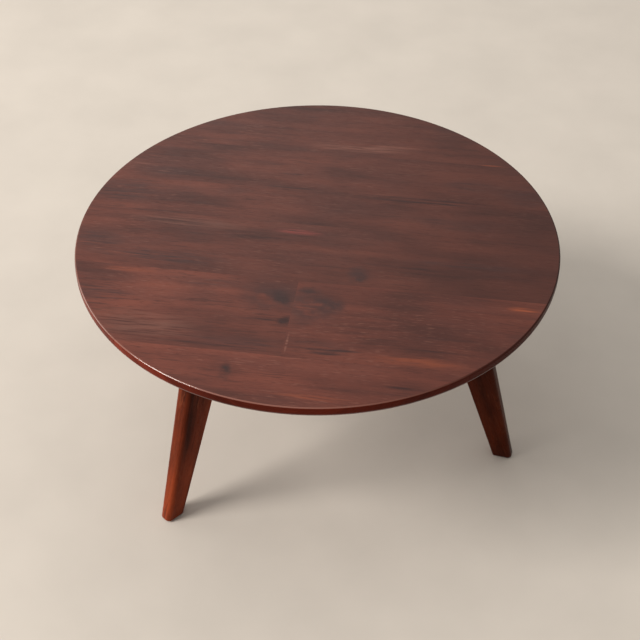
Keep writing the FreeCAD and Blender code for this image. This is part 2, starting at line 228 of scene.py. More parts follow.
# Tints over the grain: layer, where it starts and is full, the patches that gather it, tint and strength.
# Dark and pale lines lie in clusters, pores and the change of hue all over
GRAIN_TINTS = (
    ("hue", (0.5, 0.7), None, "plum", 0.4),
    ("line", (0.53, 0.66), (0.44, 0.58), "deep", 0.5),
    ("fleck", (0.56, 0.74), (0.6, 0.4), "fleck", 0.5),
    ("pore", (0.56, 0.76), None, "deep", 0.35),
)
PLUM_SHARES = (0.72, 0.9, 1.15)
DEEP_SHARE = 0.5

# The grain sways up to 10 mm to either side over half a metre
SWAY_FIGURE = (480, 120)
SWAY_DETAIL = 4
SWAY_REACH = 20 * MM
NOISE_MIDDLE = (0.5, 0.5, 0.5)

# Painted shade: a piece darkens toward +X, where less light falls, down to this share of its heart tone
PAINTED_SHADE_SHARE = 0.3
FULL_PAINTED_SHADE = 1

# Painted highlight on the arris toward the front left, paler and with more coat there: direction, and where
# along it the highlight starts and is full
HIGHLIGHT_WAY = (-0.45, -0.9, 0)
HIGHLIGHT_RANGE = (0.3 * TOP_RADIUS, 0.85 * TOP_RADIUS)
HIGHLIGHT_STRENGTH = 0.8

# Streaks break up along the fibres, knots have clouded edges. A mark is full in its core and fades outward
FIBRE_RANGE = (0.34, 0.62)
SMOKE_RANGE = (0.32, 0.52)
KNOT_CLOUD = 26 * MM
KNOT_DETAIL = 4
KNOT_REACH = (24 * MM, 24 * MM, 0)
MARK_DEPTH = 50 * MM
MARK_CORE = 0.2

# Marks of each board: x, y, length and width in millimetres, tint and strength
SMOKE = "#38201E"
SOOT = "#2E1A19"
UMBER = "#2E1310"
RUST = "#8A4428"
ROSE = "#8A3E38"
STRAW = "#86584A"
STREAKS = {
    1: ((38, 247, 230, 26, STRAW, 0.6), (100, 258, 110, 9, STRAW, 0.6), (268, 228, 60, 7, RUST, 0.7),
        (-160, 263, 230, 9, UMBER, 0.6), (195, 325, 110, 44, SMOKE, 0.6), (-225, 300, 70, 40, SMOKE, 0.5)),
    2: ((-55, 120, 160, 9, UMBER, 0.9), (160, 119, 330, 8, UMBER, 0.95), (-64, 158, 60, 7, UMBER, 0.8),
        (-270, 140, 170, 40, SMOKE, 0.6), (320, 150, 120, 90, SMOKE, 0.6), (240, 165, 150, 60, SMOKE, 0.4),
        (-290, 205, 110, 30, SMOKE, 0.5)),
    3: ((160, 112, 330, 8, UMBER, 0.95), (-330, 80, 170, 90, SMOKE, 0.9), (-270, 29, 180, 8, UMBER, 0.8),
        (210, 60, 260, 60, SMOKE, 0.35)),
    4: ((-30, 7, 100, 17, ROSE, 0.8), (-200, 8, 260, 40, STRAW, 0.32), (-90, -15, 150, 6, UMBER, 0.7),
        (-340, -60, 130, 100, SMOKE, 0.8), (-220, -84, 280, 56, SMOKE, 0.85),
        (236, -40, 290, 24, SMOKE, 0.8), (150, -56, 220, 14, UMBER, 0.7), (300, -60, 170, 16, UMBER, 0.6)),
    5: ((-276, -124, 110, 12, RUST, 0.55), (-300, -145, 160, 40, SMOKE, 0.35),
        (-310, -184, 150, 60, SMOKE, 0.7), (-150, -134, 220, 34, SMOKE, 0.5),
        (-62, -206, 110, 14, UMBER, 0.9), (-115, -269, 210, 9, UMBER, 0.9),
        (-80, -258, 200, 34, SMOKE, 0.5), (-225, -240, 230, 90, STRAW, 0.4)),
    6: ((40, -267, 110, 10, UMBER, 0.95), (72, -260, 90, 8, UMBER, 0.9), (40, -256, 150, 40, SMOKE, 0.5),
        (16, -259, 90, 12, UMBER, 0.8), (14, -170, 100, 56, SMOKE, 0.6), (180, -268, 170, 28, RUST, 0.55),
        (225, -215, 140, 8, UMBER, 0.85), (210, -245, 170, 7, UMBER, 0.85), (328, -135, 64, 14, RUST, 0.95),
        (-8, -252, 5, 56, STRAW, 0.75), (330, -200, 70, 40, SMOKE, 0.4)),
    7: ((162, -323, 60, 9, UMBER, 0.85), (110, -337, 230, 12, UMBER, 0.5), (50, -356, 170, 10, RUST, 0.5)),
}
KNOTS = {
    4: ((80, -91, 26, 34, SOOT, 0.95), (76, -86, 56, 50, SMOKE, 0.7)),
    5: ((-40, -156, 130, 90, SMOKE, 0.75), (-30, -157, 44, 44, SOOT, 0.8),
        (-17, -207, 30, 28, UMBER, 0.95)),
    6: ((8, -133, 44, 24, SOOT, 0.7), (44, -163, 60, 40, SMOKE, 0.95), (14, -172, 130, 110, SMOKE, 0.7)),
    7: ((-85, -325, 26, 44, SOOT, 0.95),),
}

# Each board from the back: tone, painted shade toward +X, and its pith beside and below it in millimetres
BOARD_LOGS = (
    (0.92, 0.6, 150, 60),
    (0.93, 0.62, -130, 80),
    (0.95, 0.66, 120, 70),
    (0.98, 0.68, -160, 60),
    (1.14, 0.6, 140, 90),
    (1.22, 0.48, -120, 70),
    (1.32, 0.48, 150, 80),
)

# Pith of the other pieces' logs: its place in the two directions across the grain
LEG_PITH = (100 * MM, -225 * MM)
FRAME_PITH = (30 * MM, 300 * MM)
PEG_PITH = (6 * MM, 340 * MM)

# Where each group is cut from the tree: start of the figure, and its step from piece to piece
BOARD_CUT = ((0, 0, 0), (1.7, 3.1, 0.9))
LEG_CUT = ((0, 2.3, 0), (9.1, 0, 4.7))
FRAME_CUT = ((0, 1.9, 0), (5.3, 0, 2.2))
PEG_CUT = ((2.9, 6.1, 8.3), (0, 0, 0))


def own_tones(top):
    """Dark, middle, pale and fleck tones of the boards."""
    return [tuple(tone) for tone in (top.dark, top.heart, top.pale, top.fleck)]


def restain(tones, stain=BOARD_STAIN, figure=EVEN_FIGURE, shade=1):
    """Tones under another stain, figure and shade."""
    return [tuple(part * share * strength * shade for part, share in zip(tone, stain))
            for tone, strength in zip(tones, figure)]


def cut_from(cut, ordinal):
    """Start of the figure on one piece of a group."""
    return tuple(start + step * ordinal for start, step in zip(*cut))


# Materials


# Sockets of a colour Mix node
MIX_SHARE = 0
MIX_UNDER = 6
MIX_OVER = 7
MIX_RESULT = 2


def add_node(tree, kind, values=None, links=None, **settings):
    """Add a shader node with its settings, its socket values and the nodes or sockets that feed it."""
    made = tree.nodes.new(kind)
    for name, value in settings.items():
        setattr(made, name, value)
    for socket, value in (values or {}).items():
        made.inputs[socket].default_value = value
    for socket, source in (links or {}).items():
        if isinstance(source, bpy.types.Node):
            source = source.outputs[0]
        tree.links.new(source, made.inputs[socket])
    return made


def per_mm(along, across):
    """Texture scale for a figure of this length and width in millimetres."""
    return (1 / (along * MM), 1 / (across * MM), 1 / (across * MM))


def new_material(name):
    """Empty node material."""
    material = bpy.data.materials.new(name)
    material.use_nodes = True
    material.node_tree.nodes.clear()
    return material


def disturb(tree, place, noise, reach):
    """Places pushed to and fro by a noise, up to half the reach each way."""
    push = add_node(tree, "ShaderNodeVectorMath", {1: NOISE_MIDDLE}, {0: noise}, operation="SUBTRACT")
    push = add_node(tree, "ShaderNodeVectorMath", {1: reach}, {0: push}, operation="MULTIPLY")
    return add_node(tree, "ShaderNodeVectorMath", {}, {0: place, 1: push}, operation="ADD")


def wood_places(tree, turn, log):
    """Places in a sawn piece: its own, along the grain, with the grain's sway, and around the rings."""
    pith, shift = log
    own = add_node(tree, "ShaderNodeTexCoord").outputs["Object"]
    along = add_node(tree, "ShaderNodeMapping", {"Rotation": turn}, {"Vector": own})
    spot = add_node(tree, "ShaderNodeMapping", {"Scale": per_mm(*SWAY_FIGURE), "Location": shift},
                    {"Vector": along})
    sway = add_node(tree, "ShaderNodeTexNoise", {"Scale": 1, "Detail": SWAY_DETAIL}, {"Vector": spot})
    grain = disturb(tree, along, sway.outputs["Color"], (0, SWAY_REACH, SWAY_REACH))

    # Growth rings: distance from the pith stands for the width across them
    offset = add_node(tree, "ShaderNodeVectorMath", {1: (0, *pith)}, {0: grain}, operation="SUBTRACT")
    length = add_node(tree, "ShaderNodeSeparateXYZ", {}, {0: offset}).outputs["X"]
    across = add_node(tree, "ShaderNodeVectorMath", {1: (0, 1, 1)}, {0: offset}, operation="MULTIPLY")
    distance = add_node(tree, "ShaderNodeVectorMath", {}, {0: across}, operation="LENGTH").outputs["Value"]
    rings = add_node(tree, "ShaderNodeCombineXYZ", {}, {"X": length, "Y": distance})
    return {"own": own, "along": along, "grain": grain, "length": length, "rings": rings}


def wood_layers(tree, rings, shift):
    """Noise of each layer of the figure, drawn out along the grain."""
    layers = {}
    for layer, length, width, detail in WOOD_LAYERS:
        shift = tuple(value + LAYER_SHIFT for value in shift)
        spot = add_node(tree, "ShaderNodeMapping", {"Scale": per_mm(length, width), "Location": shift},
                        {"Vector": rings})
        noise = add_node(tree, "ShaderNodeTexNoise", {"Scale": 1, "Detail": detail}, {"Vector": spot})
        layers[layer] = noise.outputs["Fac"]
    return layers


def grain_colour(tree, layers, tones):
    """Colour of the grain, from dark late wood over the heart tone to pale early wood, with its tints."""
    dark, heart, pale, fleck = tones
    level = None
    for layer, weight in GRAIN_WEIGHTS:
        sources = {0: layers[layer]}
        if level is not None:
            sources[2] = level
        level = add_node(tree, "ShaderNodeMath", {1: weight, 2: 0}, sources, operation="MULTIPLY_ADD")
    level = add_node(tree, "ShaderNodeMapRange", {"From Min": GRAIN_RANGE[0], "From Max": GRAIN_RANGE[1]},
                     {"Value": level})
    ramp = add_node(tree, "ShaderNodeValToRGB", {}, {"Fac": level})
    stops = ramp.color_ramp.elements
    stops[0].color = (*dark, 1)
    stops[1].color = (*pale, 1)
    stops.new(HEART_STOP).color = (*heart, 1)
    colour = ramp.outputs["Color"]
    tints = {
        "plum": [part * share for part, share in zip(heart, PLUM_SHARES)],
        "deep": [part * DEEP_SHARE for part in dark],
        "fleck": fleck,
    }
    for layer, (start, full), gather, tint, strength in GRAIN_TINTS:
        share = add_node(tree, "ShaderNodeMapRange",
                         {"From Min": start, "From Max": full, "To Max": strength},
                         {"Value": layers[layer]}, interpolation_type="SMOOTHSTEP")
        if gather:
            inside = add_node(tree, "ShaderNodeMapRange", {"From Min": gather[0], "From Max": gather[1]},
                              {"Value": layers["patch"]}, interpolation_type="SMOOTHSTEP")
            share = add_node(tree, "ShaderNodeMath", {}, {0: share, 1: inside}, operation="MULTIPLY")
        colour = add_node(tree, "ShaderNodeMix", {MIX_OVER: (*tints[tint], 1)},
                          {MIX_SHARE: share, MIX_UNDER: colour}, data_type="RGBA").outputs[MIX_RESULT]
    return colour


def lay_marks(tree, colour, places, fibres, streaks, knots):
    """Colour with a board's streaks and knots over it."""
    fibre = add_node(tree, "ShaderNodeMapRange", {"From Min": FIBRE_RANGE[0], "From Max": FIBRE_RANGE[1]},
                     {"Value": fibres})
    cloud = add_node(tree, "ShaderNodeTexNoise", {"Scale": 1 / KNOT_CLOUD, "Detail": KNOT_DETAIL},
                     {"Vector": places["own"]}).outputs
    smoke = add_node(tree, "ShaderNodeMapRange", {"From Min": SMOKE_RANGE[0], "From Max": SMOKE_RANGE[1]},
                     {"Value": cloud["Fac"]})
    curl = disturb(tree, places["along"], cloud["Color"], KNOT_REACH)
    marks = [(mark, places["grain"], fibre) for mark in streaks] + [(mark, curl, smoke) for mark in knots]
    for (x, y, length, width, tint, strength), place, broken in marks:
        middle = (x * MM, y * MM, TOP_LEVEL)
        half_size = (length * MM / 2, width * MM / 2, MARK_DEPTH)
        spot = add_node(tree, "ShaderNodeMapping", {"Location": middle, "Scale": half_size},
                        {"Vector": place}, vector_type="TEXTURE")
        away = add_node(tree, "ShaderNodeVectorMath", {}, {0: spot}, operation="LENGTH").outputs["Value"]
        share = add_node(tree, "ShaderNodeMapRange",
                         {"From Min": 1, "From Max": MARK_CORE, "To Max": strength},
                         {"Value": away}, interpolation_type="SMOOTHSTEP")
        share = add_node(tree, "ShaderNodeMath", {}, {0: share, 1: broken}, operation="MULTIPLY")
        colour = add_node(tree, "ShaderNodeMix", {MIX_OVER: (*linear(tint), 1)},
                          {MIX_SHARE: share, MIX_UNDER: colour}, data_type="RGBA").outputs[MIX_RESULT]
    return colour


def stained_wood(name, tones, log, finish, turn=(0, 0, 0), painted_shade=0, painted_highlight=False, streaks=(), knots=()):
    """Sawn acacia under a red-brown stain: drawn-out dark grain, short pores and pale flecks to the eye.

    The grain runs along X after the turn. The log gives the pith's place beside the piece, which the growth
    rings lie around, and the start of the figure, which picks another length of the same tree.
    """
    material = new_material(name)
    tree = material.node_tree
    heart, fleck = tones[1], tones[3]
    coat, specular, roughness = finish
    places = wood_places(tree, turn, log)
    layers = wood_layers(tree, places["rings"], log[1])
    colour = grain_colour(tree, layers, tones)
    # Painted shade: darker toward +X, standing for light that falls off to the right
    if painted_shade:
        share = add_node(tree, "ShaderNodeMapRange",
                         {"From Min": -TOP_RADIUS, "From Max": TOP_RADIUS, "To Max": painted_shade},
                         {"Value": places["length"]})
        colour = add_node(tree, "ShaderNodeMix", {MIX_OVER: (*[part * PAINTED_SHADE_SHARE for part in heart], 1)},
                          {MIX_SHARE: share, MIX_UNDER: colour}, data_type="RGBA").outputs[MIX_RESULT]
    # Painted highlight: the arris is paler toward the front left, and the same mask sets its coat weight
    if painted_highlight:
        toward = add_node(tree, "ShaderNodeVectorMath", {1: HIGHLIGHT_WAY}, {0: places["own"]},
                          operation="DOT_PRODUCT").outputs["Value"]
        highlight_mask = add_node(tree, "ShaderNodeMapRange",
                          {"From Min": HIGHLIGHT_RANGE[0], "From Max": HIGHLIGHT_RANGE[1]}, {"Value": toward})
        share = add_node(tree, "ShaderNodeMath", {1: HIGHLIGHT_STRENGTH}, {0: highlight_mask}, operation="MULTIPLY")
        colour = add_node(tree, "ShaderNodeMix", {MIX_OVER: (*fleck, 1)},
                          {MIX_SHARE: share, MIX_UNDER: colour}, data_type="RGBA").outputs[MIX_RESULT]
    if streaks or knots:
        colour = lay_marks(tree, colour, places, layers["line"], streaks, knots)
    smooth, rough = (roughness + change for change in PORE_ROUGHNESS)
    span = {"From Min": PORE_RANGE[0], "From Max": PORE_RANGE[1], "To Min": smooth, "To Max": rough}
    dullness = add_node(tree, "ShaderNodeMapRange", span, {"Value": layers["pore"]})
    bump = add_node(tree, "ShaderNodeBump", {"Strength": PORE_BUMP, "Distance": PORE_RELIEF},
                    {"Height": layers["pore"]}, invert=True)
    sources = {"Base Color": colour, "Roughness": dullness, "Normal": bump}
    if painted_highlight:
        sources["Coat Weight"] = highlight_mask
    shader = add_node(tree, "ShaderNodeBsdfPrincipled",
                      {"IOR": LACQUER_IOR, "Specular IOR Level": specular, "Coat Weight": coat,
                       "Coat Roughness": roughness - COAT_SMOOTHER, "Coat IOR": LACQUER_IOR}, sources)
    add_node(tree, "ShaderNodeOutputMaterial", {}, {"Surface": shader})
    return material


def board_woods(top, ordinal):
    """Woods of one board, from its underside to its upper face."""
    tone, painted_shade, beside, below = BOARD_LOGS[ordinal - 1]
    low, high = BOARD_BOXES[ordinal - 1]
    face = restain(own_tones(top), shade=tone)
    rim = restain(face, RIM_STAIN, DEEP_FIGURE)
    pith = ((low.y + high.y) / 2 + beside * MM, UNDERSIDE - below * MM)
    log = (pith, cut_from(BOARD_CUT, ordinal))
    return [
        stained_wood(f"stained acacia underside, board {ordinal}", face, log, STAINED_UNDERSIDE),
        stained_wood(f"lacquered acacia lower rim, board {ordinal}", rim, log, LACQUERED_RIM,
                     painted_shade=FULL_PAINTED_SHADE),
        stained_wood(f"deep stained acacia edge, board {ordinal}", rim, log, DEEP_EDGE, painted_shade=FULL_PAINTED_SHADE),
        stained_wood(f"polished acacia arris, board {ordinal}", face, log, POLISHED_ARRIS, painted_shade=FULL_PAINTED_SHADE,
                     painted_highlight=True),
        stained_wood(f"satin lacquered acacia, board {ordinal}", face, log, SATIN_LACQUER, painted_shade=painted_shade,
                     streaks=STREAKS.get(ordinal, ()), knots=KNOTS.get(ordinal, ())),
    ]


# Zinc-plated steel, headed cold and barrel plated: pale grey, softly blurred reflections in small clouds
STEEL_NAME = "zinc-plated steel"
ZINC_DULL = "#9C9D99"
ZINC_BRIGHT = "#C9CAC6"
ZINC_CLOUD = 2.5 * MM
ZINC_DETAIL = 3
ZINC_ROUGHNESS = (0.28, 0.46)


def plated_steel():
    """Zinc-plated steel, made once and shared by the screws and the nails."""
    if STEEL_NAME in bpy.data.materials:
        return bpy.data.materials[STEEL_NAME]
    material = new_material(STEEL_NAME)
    tree = material.node_tree
    place = add_node(tree, "ShaderNodeTexCoord").outputs["Object"]
    cloud = add_node(tree, "ShaderNodeTexNoise", {"Scale": 1 / ZINC_CLOUD, "Detail": ZINC_DETAIL},
                     {"Vector": place}).outputs["Fac"]
    ramp = add_node(tree, "ShaderNodeValToRGB", {}, {"Fac": cloud})
    ramp.color_ramp.elements[0].color = (*linear(ZINC_DULL), 1)
    ramp.color_ramp.elements[1].color = (*linear(ZINC_BRIGHT), 1)
    rough = add_node(tree, "ShaderNodeMapRange", {"To Min": ZINC_ROUGHNESS[0], "To Max": ZINC_ROUGHNESS[1]},
                     {"Value": cloud})
    shader = add_node(tree, "ShaderNodeBsdfPrincipled", {"Metallic": 1},
                      {"Base Color": ramp.outputs["Color"], "Roughness": rough})
    add_node(tree, "ShaderNodeOutputMaterial", {}, {"Surface": shader})
    return material


# Nylon moulded in a spark-eroded mould: dark brown and matt, with a fine even grit
NYLON_LOW = "#2E2420"
NYLON_HIGH = "#43362F"
NYLON_GRIT = 0.6 * MM
NYLON_DETAIL = 2
NYLON_RELIEF = 0.1 * MM
NYLON_BUMP = 0.3
NYLON_IOR = 1.53
NYLON_ROUGHNESS = 0.55


def moulded_nylon():
    """Moulded nylon of the glides."""
    material = new_material("moulded nylon")
    tree = material.node_tree
    place = add_node(tree, "ShaderNodeTexCoord").outputs["Object"]
    grit = add_node(tree, "ShaderNodeTexNoise", {"Scale": 1 / NYLON_GRIT, "Detail": NYLON_DETAIL},
                    {"Vector": place}).outputs["Fac"]
    ramp = add_node(tree, "ShaderNodeValToRGB", {}, {"Fac": grit})
    ramp.color_ramp.elements[0].color = (*linear(NYLON_LOW), 1)
    ramp.color_ramp.elements[1].color = (*linear(NYLON_HIGH), 1)
    bump = add_node(tree, "ShaderNodeBump", {"Strength": NYLON_BUMP, "Distance": NYLON_RELIEF},
                    {"Height": grit})
    shader = add_node(tree, "ShaderNodeBsdfPrincipled", {"IOR": NYLON_IOR, "Roughness": NYLON_ROUGHNESS},
                      {"Base Color": ramp.outputs["Color"], "Normal": bump})
    add_node(tree, "ShaderNodeOutputMaterial", {}, {"Surface": shader})
    return material


# Trowelled screed: quite matt, with faint broad clouds from the trowel
SCREED_CLOUD = 160 * MM
SCREED_DETAIL = 5
SCREED_TONES = ((0.3, 0.96), (0.7, 1.03))
SCREED_ROUGHNESS = 1
SCREED_SPECULAR = 0.1


def trowelled_floor(colour):
    """Trowelled screed of the floor, open from below so that the table's underside can be seen."""
    material = new_material("trowelled screed")
    tree = material.node_tree
    place = add_node(tree, "ShaderNodeTexCoord").outputs["Object"]
    cloud = add_node(tree, "ShaderNodeTexNoise", {"Scale": 1 / SCREED_CLOUD, "Detail": SCREED_DETAIL},
                     {"Vector": place}).outputs["Fac"]
    ramp = add_node(tree, "ShaderNodeValToRGB", {}, {"Fac": cloud})
    for stop, (position, tone) in zip(ramp.color_ramp.elements, SCREED_TONES):
        stop.position = position
        stop.color = (*[min(1, part * tone) for part in colour], 1)
    shader = add_node(tree, "ShaderNodeBsdfPrincipled",
                      {"Roughness": SCREED_ROUGHNESS, "Specular IOR Level": SCREED_SPECULAR},
                      {"Base Color": ramp.outputs["Color"]})
    below = add_node(tree, "ShaderNodeNewGeometry").outputs["Backfacing"]
    clear = add_node(tree, "ShaderNodeBsdfTransparent")
    shader = add_node(tree, "ShaderNodeMixShader", {}, {0: below, 1: shader, 2: clear})
    add_node(tree, "ShaderNodeOutputMaterial", {}, {"Surface": shader})
    return material


# Shapes


# Edges that bend further than this stay sharp, and points nearer than TOUCH are in the same place
SHARP_ANGLE = math.radians(50)
TOUCH = 0.01 * MM
CUT_SNAP = 0.0001 * MM

# Steps around a turned shape: glides and peg holes, then pegs and screws, then nails
WIDE_TURN = 48
MIDDLE_TURN = 32
NARROW_TURN = 24

# Rim of the top: steps of its two arcs, and a flat ring beside them that keeps the broad faces flat
UPPER_STEPS = 6
LOWER_STEPS = 12
FLAT_RING = 0.6 * MM

# Upward part of the normal at which a board's finish changes: underside, lower rim, edge, arris, upper face
FINISH_LIMITS = (-0.9, -0.1, 0.5, 0.95)

# Legs: rings up the leg, steps of a rounded corner, and the sole's easing in shares of its height and inset
LEG_RINGS = 12
CORNER_STEPS = 8
SMALLEST_CORNER = 0.2 * MM
SOLE_CURVE = ((0, 1), (0.3, 0.29), (1, 0))

# Cutters run past the surface that they cut
MORTISE_OVERRUN = 10 * MM
PEG_HOLE_HALF = 30 * MM
NAIL_BORE = 1.2 * MM
NAIL_HOLE_DEPTH = 18 * MM
NAIL_OVERRUN = 1 * MM

# Flats across an eased edge of the frame
EASING_SEGMENTS = 2

# A peg's end is chamfered to a share of its radius
PEG_CHAMFER = 0.5 * MM
PEG_END_SHARE = 0.7

# Pan-head screw in millimetres. Outlines are (distance from the axis, level above the head's lowest point)
SCREW_TIP = 0.3
SCREW_POINT = 6
SCREW_SHANK = 2.25
SCREW_SEAT = 2.5
SCREW_HEAD = ((5, SCREW_SEAT), (5, 1.6), (4.7, 0.8), (4.0, 0.3), (3.0, 0.06), (1.0, 0))
# Cross recess: half width and half length of an arm, and level
CROSS_MOUTH = (0.65, 2.7, -0.1)
CROSS_FLOOR = (0.4, 1.1, 1.8)
# Each screw stopped at another turn
SCREW_TWIST = 0.7

# Glide with soft edges and a sink for its nail, and the dome-headed nail, in millimetres above the floor
GLIDE_OUTLINE = ((1.2, 2.5), (8.7, 2.5), (9, 2.2), (9, 0.9), (8.75, 0.3), (8.2, 0), (4.6, 0), (4.15, 0.12),
                 (4, 0.4), (4, 1.4), (1.2, 1.4))
NAIL_OUTLINE = ((0.2, 19.4), (1.1, 17.2), (1.1, 1.4), (3.5, 1.4), (3.5, 0.9), (3.1, 0.58), (2.0, 0.44),
                (0.6, 0.4))


def leg_turn(name):
    """Direction of a leg about the table's axis, read from its glide."""
    low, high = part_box(f"{name}_glide")
    middle = (low + high) / 2
    return math.atan2(middle.y, middle.x)


def leg_sections(name):
    """Foot and top of a leg's CAD node, drawn along X: (level, inner place, outer place, thickness)."""
    back_turn = Matrix.Rotation(-leg_turn(name), 3, "Z")
    corners = [back_turn @ vertex.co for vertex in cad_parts[f"{name}_leg"].data.vertices]
    levels = [corner.z for corner in corners]
    sections = []
    for level in (min(levels), max(levels)):
        ring = [corner for corner in corners if abs(corner.z - level) < TOUCH]
        reach = [corner.x for corner in ring]
        width = [corner.y for corner in ring]
        sections.append((level, min(reach), max(reach), max(width) - min(width)))
    return sections


def new_object(name, shape):
    """Object in the scene from a bmesh, with its sharp edges marked."""
    mesh = bpy.data.meshes.new(name)
    shape.to_mesh(mesh)
    shape.free()
    mesh.set_sharp_from_angle(angle=SHARP_ANGLE)
    piece = bpy.data.objects.new(name, mesh)
    bpy.context.scene.collection.objects.link(piece)
    return piece


def cut_out(piece, cutters):
    """Cut shapes out of a piece and leave plain mesh behind."""
    tools = [new_object(f"{piece.name}_cutter_{ordinal}", cutter)
             for ordinal, cutter in enumerate(cutters, start=1)]
    for tool in tools:
        cut = piece.modifiers.new(tool.name, "BOOLEAN")
        cut.object = tool
        cut.solver = "EXACT"
    whole = piece.data
    piece.data = bpy.data.meshes.new_from_object(piece.evaluated_get(bpy.context.evaluated_depsgraph_get()))
    piece.data.set_sharp_from_angle(angle=SHARP_ANGLE)
    piece.modifiers.clear()
    bpy.data.meshes.remove(whole)
    for tool in tools:
        bpy.data.meshes.remove(tool.data)


def finish_piece(name, shape, nodes, materials, cutters=()):
    """Turn a shape into a piece that rides on the table and stands for its CAD nodes."""
    piece = new_object(name, shape)
    if cutters:
        cut_out(piece, cutters)
    for material in materials:
        piece.data.materials.append(material)
    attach(piece, "root")
    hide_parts(*nodes)
    return piece


def arc(centre, radius, start, end, steps):
    """Points of an arc in (distance, level)."""
    angles = [start + (end - start) * step / steps for step in range(steps + 1)]
    return [(centre[0] + radius * math.cos(a), centre[1] + radius * math.sin(a)) for a in angles]


def loft(rings, hollow=False, shape=None, place=None):
    """Skin over rings of points, capped at both ends, or closed on itself when hollow."""
    shape = shape or bmesh.new()
    place = place or Matrix()
    loops = [[shape.verts.new(place @ Vector(point)) for point in ring] for ring in rings]
    if hollow:
        loops.append(loops[0])
    faces = []
    for lower, upper in zip(loops, loops[1:]):
        for step in range(len(lower)):
            ahead = (step + 1) % len(lower)
            faces.append(shape.faces.new((lower[step], lower[ahead], upper[ahead], upper[step])))
            faces[-1].smooth = True
    if not hollow:
        faces += [shape.faces.new(loops[0]), shape.faces.new(loops[-1])]
    bmesh.ops.recalc_face_normals(shape, faces=faces)
    return shape


def lathe(profile, steps, **options):
    """Turned shape of a (distance, level) profile."""
    turns = [2 * math.pi * step / steps for step in range(steps)]
    rings = [[(reach * math.cos(turn), reach * math.sin(turn), level) for turn in turns]
             for reach, level in profile]
    return loft(rings, **options)


def cut_away(shape, point, normal):
    """Cut off what lies on the normal's side of a plane and close the cut."""
    geometry = shape.verts[:] + shape.edges[:] + shape.faces[:]
    cut = bmesh.ops.bisect_plane(shape, geom=geometry, dist=CUT_SNAP, plane_co=point, plane_no=normal,
                                 clear_outer=True)
    edges = [item for item in cut["geom_cut"] if isinstance(item, bmesh.types.BMEdge)]
    bmesh.ops.edgeloop_fill(shape, edges=edges)


def board_shape(top, box):
    """One board of the top: the rounded disc cut at its seams."""
    upper, lower = top.upper_rounding, top.lower_rounding
    profile = [(TOP_RADIUS - upper - FLAT_RING, TOP_LEVEL)]
    profile += arc((TOP_RADIUS - upper, TOP_LEVEL - upper), upper, math.pi / 2, 0, UPPER_STEPS)
    profile += arc((TOP_RADIUS - lower, UNDERSIDE + lower), lower, 0, -math.pi / 2, LOWER_STEPS)
    profile.append((TOP_RADIUS - lower - FLAT_RING, UNDERSIDE))
    shape = lathe(profile, top.rim_steps)
    low, high = box
    if high.y < TOP_RADIUS - TOUCH:
        cut_away(shape, (0, high.y, 0), (0, 1, 0))
    if low.y > -TOP_RADIUS + TOUCH:
        cut_away(shape, (0, low.y, 0), (0, -1, 0))

    # A board that ends short of the rim has an end joint there
    nearest = 0 if low.y < 0 < high.y else min(abs(low.y), abs(high.y))
    reach = math.sqrt(TOP_RADIUS ** 2 - nearest ** 2)
    if high.x < reach - MM:
        cut_away(shape, (high.x, 0, 0), (1, 0, 0))
    if low.x > -reach + MM:
        cut_away(shape, (low.x, 0, 0), (-1, 0, 0))
    return shape


def leg_shape(legs, sections):
    """Tapered leg lofted between its foot and its top, drawn along X."""
    foot_level, foot_inner, foot_outer, foot_thick = sections[0]
    top_level, top_inner, top_outer, top_thick = sections[1]
    height = top_level - foot_level
    ease = legs.sole_easing
    levels = [(foot_level + rise * ease, inset * ease) for rise, inset in SOLE_CURVE]
    levels += [(foot_level + height * step / LEG_RINGS, 0) for step in range(1, LEG_RINGS + 1)]
    rings = []
    for level, inset in levels:
        share = (level - foot_level) / height
        inner = foot_inner + (top_inner - foot_inner) * share + inset
        outer = foot_outer + (top_outer - foot_outer) * share - inset
        half = (foot_thick + (top_thick - foot_thick) * share) / 2 - inset
        ring = []
        for quarter, (corner_x, corner_y, radius) in enumerate((
            (outer, half, legs.outer_rounding), (inner, half, legs.inner_rounding),
            (inner, -half, legs.inner_rounding), (outer, -half, legs.outer_rounding),
        )):
            radius = max(radius - inset, SMALLEST_CORNER)
            centre = (corner_x - math.copysign(radius, corner_x - (inner + outer) / 2),
                      corner_y - math.copysign(radius, corner_y))
            start = quarter * math.pi / 2
            ring += arc(centre, radius, start, start + math.pi / 2, CORNER_STEPS)
        rings.append([(x, y, level) for x, y in ring])
    return loft(rings)


def across_leg(joinery):
    """Place of the peg across a leg that is drawn along X."""
    middle = Matrix.Translation((joinery.peg_place, 0, UNDERSIDE - joinery.peg_drop))
    return middle @ Matrix.Rotation(math.pi / 2, 4, "X")


def leg_cutters(joinery, sections):
    """Mortise, peg hole and nail hole of a leg that is drawn along X."""
    (foot_level, foot_inner, foot_outer, _), (_, top_inner, _, _) = sections
    mouth, floor = top_inner - MORTISE_OVERRUN, joinery.mortise_reach
    half = joinery.mortise_width / 2
    plan = ((mouth, -half), (floor, -half), (floor, half), (mouth, half))
    high = UNDERSIDE - joinery.mortise_drop
    mortise = loft([[(x, y, level) for x, y in plan] for level in (high - joinery.mortise_depth, high)])
    bore = joinery.peg_bore / 2
    peg_hole = lathe([(bore, -PEG_HOLE_HALF), (bore, PEG_HOLE_HALF)], WIDE_TURN, place=across_leg(joinery))
    nail_place = Matrix.Translation(((foot_inner + foot_outer) / 2, 0, foot_level))
    nail_outline = ((NAIL_BORE, -NAIL_OVERRUN), (NAIL_BORE, NAIL_HOLE_DEPTH))
    nail_hole = lathe(nail_outline, NARROW_TURN, place=nail_place)
    return mortise, peg_hole, nail_hole


